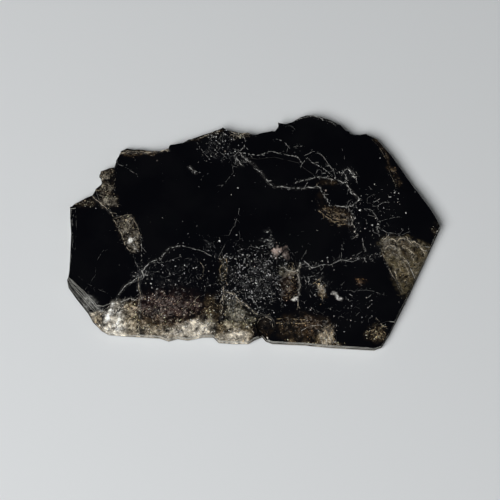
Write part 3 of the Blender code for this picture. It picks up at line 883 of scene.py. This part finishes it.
# Each crazed place: how far apart its cracks are, the share of them that show, how bright they are, their
# shade, and its outline.
CRAZED = (
    (1.0, 0.6, 0.60, "tan", ((114, 217), (131, 215), (140, 232), (140, 252), (131, 252), (121, 234))),
    (1.0, 0.6, 0.55, "tan", ((106, 187), (10, 22))),
    (0.9, 0.7, 1.00, "cream", ((104, 304), (125, 303), (128, 337), (104, 337))),
    (0.9, 0.7, 0.90, "cream", ((146, 325), (214, 320), (214, 341), (146, 341))),
    (1.1, 0.6, 0.70, "tan", ((126, 304), (160, 310), (160, 338), (126, 338))),
    (1.6, 0.35, 0.35, "tan", ((380, 241), (392, 236), (408, 238), (424, 248), (412, 272), (388, 262))),
    (2.0, 0.4, 0.35, "gold", ((388, 262), (414, 272), (402, 298))),
    (1.5, 0.45, 0.80, "white", ((349, 174), (9, 7))),
    (2.2, 0.35, 0.35, "white", ((372, 210), (20, 26))),
    (0.9, 0.5, 0.45, "white", ((352, 215), (6, 18))),
    (0.9, 0.30, 0.65, "white", ((302, 264), (336, 257), (380, 253), (380, 261), (336, 268), (304, 270))),
    (1.0, 0.45, 0.45, "white", ((316, 281), (14, 12))),
    (0.8, 0.6, 0.60, "gold", ((293, 281), (8, 20))),
    (1.6, 0.35, 0.35, "white", ((328, 170), (14, 9))),
    (0.9, 0.6, 0.55, "white", ((237, 159), (5, 8))),
    (1.0, 0.4, 0.60, "gold", ((223, 269), (5, 14))),
    (1.0, 0.5, 0.50, "gold", ((237, 332), (20, 12))),
    (1.0, 0.5, 0.55, "gold", ((326, 337), (12, 8))),
    (1.0, 0.6, 0.60, "gold", ((376, 334), (10, 8))),
    (1.8, 0.4, 0.35, "gold", ((337, 216), (13, 8))),
    (1.8, 0.4, 0.30, "grey", ((178, 272), (30, 14))),
    (1.8, 0.3, 0.35, "grey", ((255, 276), (34, 30))),
    (1.5, 0.30, 0.40, "grey", ((342, 303), (38, 24))),
    (1.2, 0.4, 0.50, "gold", ((234, 308), (14, 12))),
    (1.0, 0.5, 0.45, "tan", ((239, 135), (10, 4))),
)
CRAZE_STEP = 0.35
CRAZE_JITTER = 0.55
CRAZE_LIGHT = (0.2, 1.6)
CRAZE_EDGE = (-0.3, 0.6)
LEAST_CRAZE = 0.15
CRAZE_SEED = 8
ABOVE = 20.0
FACING_UP = 0.4

top_of_crystal = bvhtree.BVHTree.FromPolygons(points.tolist(), triangles.tolist())


def height_at(x, y):
    """How high the crystal's face is here, or None outside it."""
    found = top_of_crystal.ray_cast(Vector((x, y, ABOVE)), Vector((0, 0, -1)))
    return found[0].z if found[0] is not None and found[1].z > FACING_UP else None


def strands_of(line, count):
    """The lines of a crack's strands, which part from it and meet it again."""
    found = [line]
    for number in range(1, count):
        shift = dice.uniform(0, 50)
        run = 0.0
        strand = []
        for before, here, after in zip([line[0]] + line, line, line[1:] + [line[-1]]):
            run += (here - before).length
            along = (after - before).normalized()
            swing = STRAND_SPREAD * noise.noise((run / STRAND_SWING + shift, shift, number))
            strand.append(here + Vector((-along.y, along.x)) * swing)
        found.append(strand)
    return found


def twigs_of(line, brightness):
    """Small side cracks that leave a crack."""
    run, due, found = 0.0, dice.uniform(*TWIG_START) * TWIG_EVERY, []
    for before, here in zip(line, line[1:]):
        run += (here - before).length
        if run > due:
            due += dice.uniform(*TWIG_GAP) * TWIG_EVERY
            heading = math.atan2(here.y - before.y, here.x - before.x)
            heading += dice.choice((-1, 1)) * dice.uniform(*TWIG_TURN)
            tip = here + dice.uniform(*TWIG_LENGTH) * Vector((math.cos(heading), math.sin(heading)))
            found.append((brightness * dice.uniform(*TWIG_LIGHT), wandering(here, tip) + [tip]))
    return found


def crazing(cell, share, brightness, shade, outline):
    """The cracks of a crazed place: the straight borders between cells about seeds strewn over it."""
    outline = outline_on_face(outline)
    seeds = [Vector((x + dice.uniform(-CRAZE_JITTER, CRAZE_JITTER) * cell,
                     y + dice.uniform(-CRAZE_JITTER, CRAZE_JITTER) * cell))
             for x, y in lattice(outline.min(0) - cell, outline.max(0) + cell, cell)]
    coords, _, faces, _, _, _ = delaunay_2d_cdt(seeds, [], [], 0, SAME_POINT)
    middles, sides, found = [], {}, []
    for face in faces:
        middles.append((coords[face[0]] + coords[face[1]] + coords[face[2]]) / 3)
        for first, last in zip(face, face[1:] + face[:1]):
            sides.setdefault(frozenset((first, last)), []).append(len(middles) - 1)
    for pair in sides.values():
        if len(pair) < 2 or dice.random() > share:
            continue
        start, end = middles[pair[0]], middles[pair[1]]
        gap = outside(outline, np.array([tuple((start + end) / 2)]))[0]
        strength = float(eased(0.5 - (gap + dice.uniform(*CRAZE_EDGE) * cell) / cell))
        if strength > LEAST_CRAZE:
            steps = max(1, round((end - start).length / CRAZE_STEP))
            line = [start.lerp(end, step / steps) for step in range(steps + 1)]
            found.append((shade, brightness * strength * dice.uniform(*CRAZE_LIGHT), line))
    return found


def lip_runs(strand):
    """The unbroken runs of a strand: at each point the spot, the way along, the height and the light."""
    _, brightness, line = strand
    shift = dice.uniform(0, 90)
    passed, runs, here_run = 0.0, [], []
    for number, here in enumerate(line):
        before, after = line[max(number - 1, 0)], line[min(number + 1, len(line) - 1)]
        passed += (here - before).length
        level = height_at(here.x, here.y)
        patchy = LIP_LIGHT + LIP_LIGHT_SWING * noise.noise((passed / BREAK_SIZE, shift, 0.0))
        light = min(1.0, brightness * patchy)
        if level is not None and light > LEAST_LIGHT:
            here_run.append((here, (after - before).normalized(), level, light))
            continue
        runs.append(here_run)
        here_run = []
    return [run for run in runs + [here_run] if len(run) > 1]


def build_lips(strands):
    """One mesh of all the strands: thin three-sided ribs, rooted in the face and closed at both ends."""
    corners, faces, tones = [], [], []
    for strand in strands:
        for run in lip_runs(strand):
            for number, (here, along, level, light) in enumerate(run):
                at_end = number in (0, len(run) - 1)
                half = LIP_WIDTH / 2 * (LIP_END if at_end else 1.0) * (LIP_LEAST + LIP_LEAST * light)
                side = Vector((-along.y, along.x)) * half
                at = len(corners)
                corners += [(*(here - side), level - LIP_ROOT), (*(here + side), level - LIP_ROOT),
                            (*here, level + LIP_HEIGHT)]
                tones += [[light * part for part in SHADES[strand[0]]]] * 3
                if not number:
                    faces.append((at, at + 1, at + 2))
                    continue
                faces += [(at - 3 + first, at - 3 + last, at + last, at + first)
                          for first, last in ((1, 0), (2, 1), (0, 2))]
            faces.append((at + 2, at + 1, at))
    return corners, faces, tones


strands = []
for shade, brightness, count, line in crack_lines:
    strands += [(shade, brightness * (SIDE_STRAND_LIGHT if number else 1.0), strand)
                for number, strand in enumerate(strands_of(line, count))]
    strands += [(shade, shine, twig) for shine, twig in twigs_of(line, brightness)]
dice = random.Random(CRAZE_SEED)
for place in CRAZED:
    strands += crazing(*place)


def frosted_material():
    """Frosted, whitish mica, each bit of it in its own tone, which for the flecks holds a painted glint."""
    material, tree, shader = new_finish("frosted_mica")
    shader.inputs["Roughness"].default_value = FROSTED_ROUGHNESS
    colour = mottled(tree, held(tree, "tone", "Color"), in_millimetres(tree), Scale=3.0, Detail=3.0,
                     Roughness=0.6, From=0.3, To=0.7, Least=0.5, Most=1.3)
    tree.links.new(colour, shader.inputs["Base Color"])
    return material


frosted_mica = frosted_material()


def small_pieces(name, corners, faces, tones):
    """Many small bits of frosted mica in one mesh, laid out flat from above and, smaller, from below."""
    piece = new_piece(name, np.array(corners) * MM, faces)
    keep_on(piece.data, "tone", np.array(tones))
    _, corner, _, facing = corners_of(piece.data)
    level = (corner[:, :2] + 0.4 * corner[:, 2:3] - low[:2]) / span
    below = (facing[:, 2] < -0.5)[:, None]
    keep_layout(piece.data, np.where(below, (0.01, 0.70) + 0.44 * level, 0.01 + 0.96 * level))
    piece.data.materials.append(frosted_mica)
    return piece


lips = small_pieces("crack_lips", *build_lips(strands))
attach(lips, "root")


# ---- The flecks ----
# Crushed bits of sheet lying all through the stained places and beside the cracks: each is a tiny low shard,
# from dull to white, its brightness partly the paleness of frosted mica and partly a painted glint.

FLECK_SIZE = (0.06, 0.36)
FLECK_HEIGHT = 0.025
FLECK_ROOT = 0.012
FLECK_SEED = 33
FLECK_GROWTH = 3.0
FLECK_FALL = 2.0
FLECK_SLENDER = (1.0, 2.8)
FLECK_CROOKED = 0.3
FLECK_TOP_ASIDE = 0.2
FLECK_TOP_HEIGHT = (0.5, 1.3)
DULL_SIZE = 0.7
SHINE_GROWTH = 0.6
AMBER = (0.0, 0.3, 0.8)
WARMEST = 1.15
CRACK_FLECKS = 8.0
CRACK_FLECK_REACH = 0.45
CRACK_FLECK_SIZE = 0.8
STAIN_SHOWN = 1.3
# The larger flecks one by one: shade, brightness, place, length, width and how many degrees it is turned.
SPOTS = (
    ("white", 1.00, 130.5, 240.5, 1.8, 1.2, 70), ("white", 0.85, 134.5, 248.5, 0.7, 0.5, 30),
    ("white", 0.70, 127.5, 243, 0.5, 0.3, 10), ("white", 0.90, 256, 283, 1.1, 0.35, -20),
    ("white", 0.70, 247, 255, 0.8, 0.3, 15), ("white", 0.55, 238, 251, 0.5, 0.35, 40),
    ("white", 0.65, 235, 288, 0.6, 0.5, 0), ("white", 0.60, 248, 293, 0.35, 0.35, 0),
    ("white", 0.80, 264, 298, 0.45, 0.4, 0), ("white", 0.75, 260, 297.5, 0.45, 0.3, 60),
    ("white", 0.60, 244, 262, 0.4, 0.3, 20), ("white", 0.60, 233, 270, 0.4, 0.3, 0),
    ("white", 0.65, 268, 270, 0.5, 0.25, -40), ("white", 0.55, 252, 268, 0.5, 0.25, 30),
    ("white", 0.50, 241, 277, 0.35, 0.25, 0), ("white", 0.60, 272, 263, 0.35, 0.25, 0),
    ("white", 0.50, 262, 256, 0.35, 0.25, 10), ("grey", 0.70, 267, 232, 0.9, 0.5, 10),
    ("grey", 0.60, 271, 235, 0.6, 0.4, 60), ("grey", 0.70, 268, 240, 0.9, 0.45, -20),
    ("grey", 0.60, 262, 238.5, 0.7, 0.35, 10), ("grey", 0.55, 271, 244, 0.6, 0.5, 70),
    ("white", 0.95, 338, 296, 0.9, 0.5, -35), ("white", 0.75, 331, 294, 0.45, 0.35, 0),
    ("white", 0.90, 294, 300, 0.8, 0.5, 20), ("white", 0.70, 298, 301, 0.4, 0.4, 0),
    ("cream", 0.85, 321, 286, 0.7, 0.4, 60), ("cream", 0.75, 318, 288, 0.7, 0.3, -30),
    ("cream", 0.75, 324, 292, 0.7, 0.3, -60), ("cream", 0.65, 320, 281, 0.6, 0.25, 80),
    ("gold", 0.90, 319, 284, 0.8, 0.5, 20), ("white", 0.90, 360, 210, 1.0, 0.8, 0),
    ("white", 0.75, 372, 225, 0.8, 0.7, 0), ("white", 0.75, 378, 224, 0.8, 0.5, 0),
    ("grey", 0.90, 406, 213, 0.9, 0.8, 80), ("white", 0.95, 380, 158, 0.4, 0.25, 0),
    ("white", 0.85, 415, 192, 0.3, 0.2, 45), ("grey", 0.80, 395, 192, 1.1, 0.5, 60),
    ("grey", 0.80, 390, 197, 1.1, 0.35, 10), ("grey", 0.70, 398, 199, 0.6, 0.3, -10),
    ("white", 0.95, 151, 283.5, 0.7, 0.5, 0), ("grey", 0.60, 157, 289, 0.8, 0.5, 30),
    ("grey", 0.50, 152, 288, 0.7, 0.4, -30), ("white", 1.00, 219.5, 241, 0.8, 0.8, 0),
    ("grey", 0.75, 236.5, 235, 0.6, 0.5, 0), ("cream", 0.85, 267.5, 336.5, 0.9, 0.5, -50),
    ("cream", 0.70, 271.5, 340.5, 1.0, 0.35, -50), ("white", 0.85, 113, 325, 1.4, 0.6, 60),
    ("white", 0.80, 109, 315, 0.9, 0.4, 60), ("white", 0.75, 118, 329, 1.2, 0.5, 20),
    ("white", 0.75, 106, 319, 0.8, 0.4, 70), ("cream", 0.75, 123, 316, 0.9, 0.4, 80),
    ("cream", 0.70, 116, 311, 0.9, 0.35, 75), ("cream", 0.80, 186, 330, 1.3, 0.4, 20),
    ("cream", 0.75, 178, 334, 1.2, 0.4, 5), ("cream", 0.80, 196, 327, 1.1, 0.4, 35),
    ("cream", 0.75, 203, 331, 1.2, 0.4, 50), ("cream", 0.75, 190, 336, 1.0, 0.4, 0),
    ("white", 0.70, 152, 317, 0.5, 0.25, -30), ("cream", 0.65, 168, 329, 0.8, 0.35, 20),
    ("white", 0.90, 350, 171, 1.3, 0.45, -45), ("white", 0.85, 353, 176, 1.1, 0.4, -70),
    ("white", 0.65, 346, 178, 0.7, 0.3, 60), ("white", 0.70, 328, 176, 0.6, 0.45, 0),
    ("white", 0.60, 345, 170, 0.5, 0.3, 0), ("grey", 0.60, 334, 316, 0.6, 0.4, 0),
    ("grey", 0.55, 372, 316, 0.5, 0.3, 0), ("grey", 0.60, 348, 308, 0.4, 0.3, 0),
    ("grey", 0.60, 362, 322, 0.3, 0.3, 0), ("white", 0.65, 312, 268, 0.6, 0.5, 0),
    ("white", 0.65, 328, 262, 0.5, 0.5, 20), ("white", 0.60, 341, 260, 0.5, 0.4, 0),
    ("white", 0.60, 351, 258.5, 0.6, 0.4, 10), ("white", 0.55, 334, 270, 0.5, 0.3, 40),
    ("white", 0.60, 300, 263, 0.6, 0.6, 0), ("cream", 0.65, 310, 269, 0.5, 0.4, 0),
    ("cream", 0.60, 399, 302, 0.4, 0.3, 0), ("cream", 0.75, 438, 224, 0.8, 0.4, 80),
    ("cream", 0.65, 437, 231, 0.8, 0.35, 65), ("grey", 0.50, 197, 226, 0.3, 0.3, 0),
    ("grey", 0.75, 238, 188, 0.7, 0.6, 0), ("white", 0.80, 359, 200, 0.8, 0.5, 30),
    ("white", 0.75, 355, 218, 0.6, 0.5, 0), ("cream", 0.80, 352, 224, 0.8, 0.4, 60),
    ("cream", 0.80, 355, 231, 0.9, 0.5, 60), ("white", 0.80, 351, 192, 0.5, 0.4, 0),
    ("white", 0.70, 346, 182, 0.7, 0.35, 30), ("white", 0.75, 354, 177, 0.9, 0.35, 100),
    ("white", 0.70, 342, 173, 0.7, 0.3, 150), ("white", 0.65, 335, 178, 0.6, 0.4, 20),
    ("white", 0.55, 318, 177, 0.5, 0.35, 0), ("grey", 0.80, 215, 150, 0.7, 0.25, -60),
    ("grey", 0.80, 219, 143, 0.8, 0.25, -40), ("grey", 0.80, 224, 134, 0.7, 0.3, 30),
    ("grey", 0.75, 228, 147, 0.6, 0.25, -50), ("grey", 0.75, 211, 156, 0.7, 0.25, -50),
    ("grey", 0.70, 231, 153, 0.6, 0.3, 70), ("grey", 0.70, 217, 131, 0.5, 0.3, 0),
    ("gold", 0.95, 243, 341, 0.9, 0.5, 20), ("gold", 0.85, 239, 342, 0.7, 0.4, -20),
    ("gold", 0.85, 216, 337, 0.6, 0.4, 0),
)

dice = random.Random(FLECK_SEED)
high = points.max(0)
thickest = max(finish[3] for finish in FINISHES.values())
tries = int(thickest * (high - low)[:2].prod())
strewn = np.array([(dice.uniform(low[0], high[0]), dice.uniform(low[1], high[1])) for _ in range(tries)])
fleck_stain, fleck_pale_and_glint, _, _, fleck_count = between_sheets(strewn)
fleck_gap, fleck_light = nearest_crack(strewn)
by_crack = CRACK_FLECKS * fleck_light * np.exp(-(fleck_gap / CRACK_FLECK_REACH) ** 2)

corners, faces, tones = [], [], []


def add_fleck(x, y, length, width, heading, colour):
    """One shard: a crooked four-cornered flake with its highest point to one side."""
    along = Vector((math.cos(heading), math.sin(heading)))
    side = Vector((-along.y, along.x))
    at = len(corners)
    rim = []
    for turn in range(4):
        angle = math.tau * (turn + dice.uniform(-FLECK_CROOKED, FLECK_CROOKED)) / 4
        rim.append(Vector((x, y)) + along * math.cos(angle) * length / 2 + side * math.sin(angle) * width / 2)
    level = height_at(x, y)
    if level is None or any(height_at(*spot) is None for spot in rim):
        return
    corners.extend((spot.x, spot.y, level - FLECK_ROOT) for spot in rim)
    top = Vector((x, y)) + along * length * dice.uniform(-FLECK_TOP_ASIDE, FLECK_TOP_ASIDE)
    corners.append((top.x, top.y, level + FLECK_HEIGHT * dice.uniform(*FLECK_TOP_HEIGHT)))
    faces.extend((at + turn, at + (turn + 1) % 4, at + 4) for turn in range(4))
    faces.append((at + 3, at + 2, at + 1, at))
    tones.extend([list(colour)] * 5)


# Each strewn fleck's shine is partly a painted glint: it brightens the fleck's tone and makes the fleck
# larger.
for number, (x, y) in enumerate(strewn):
    draw, shine, grow = dice.random(), dice.random() ** FLECK_FALL, dice.random() ** FLECK_GROWTH
    warmth, slender, heading = dice.random(), dice.uniform(*FLECK_SLENDER) ** 0.5, dice.uniform(0, math.tau)
    size = FLECK_SIZE[0] + grow * (FLECK_SIZE[1] - FLECK_SIZE[0])
    if draw * thickest < fleck_count[number]:
        warmth *= WARMEST - fleck_pale_and_glint[number][2] / fleck_pale_and_glint[number][0]
        amber = 1.0 - np.array(AMBER) * warmth
        colour = fleck_stain[number] * STAIN_SHOWN + fleck_pale_and_glint[number] * amber * shine
    elif draw * thickest < fleck_count[number] + by_crack[number]:
        colour = np.array(SHADES["white"]) * shine * fleck_light[number]
        size *= CRACK_FLECK_SIZE
        slender **= 0.5
    else:
        continue
    size *= DULL_SIZE + SHINE_GROWTH * shine
    add_fleck(x, y, size * slender, size / slender, heading, np.minimum(colour, 1.0))
for shade, brightness, x, y, length, width, degrees in SPOTS:
    spot = on_face(x, y)
    add_fleck(spot.x, spot.y, length, width, math.radians(degrees), np.array(SHADES[shade]) * brightness)

flecks = small_pieces("flecks", corners, faces, tones)
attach(flecks, "root")


# ---- The table ----
# A plain pale matt floor that the crystal lies on. It isn't part of the crystal.

FLOOR_COLOUR = (0.74, 0.76, 0.77, 1)
FLOOR_ROUGHNESS = 0.9
FLOOR_HALF = 600

square = np.array(((-1, -1, 0), (1, -1, 0), (1, 1, 0), (-1, 1, 0)))
floor = new_piece("floor", square * FLOOR_HALF * MM, [(0, 1, 2, 3)])
floor_paint = bpy.data.materials.new("floor_paint")
floor_paint.use_nodes = True
paint = floor_paint.node_tree.nodes["Principled BSDF"].inputs
paint["Base Color"].default_value = FLOOR_COLOUR
paint["Roughness"].default_value = FLOOR_ROUGHNESS
floor.data.materials.append(floor_paint)


# ---- The light ----
# Two soft lamps low at the front, and a dim room, so that nothing bright lies where the face would mirror it.
# Each lamp: its place, its width and its power in watts.

LAMPS = (
    ("key_lamp", (-420, -400, 660), 600, 8.4),
    ("fill_lamp", (720, -300, 500), 600, 0.9),
)
ROOM = (0.02, 0.021, 0.023, 1)

for name, place, width, power in LAMPS:
    lamp = bpy.data.objects.new(name, bpy.data.lights.new(name, "AREA"))
    lamp.data.size = width * MM
    lamp.data.energy = power
    lamp.location = Vector(place) * MM
    lamp.rotation_euler = (-Vector(place)).to_track_quat("-Z", "Y").to_euler()
    bpy.context.scene.collection.objects.link(lamp)

room = bpy.data.worlds.new("room")
room.use_nodes = True
room.node_tree.nodes["Background"].inputs["Color"].default_value = ROOM
bpy.context.scene.world = room
bpy.context.scene.view_settings.view_transform = "Standard"
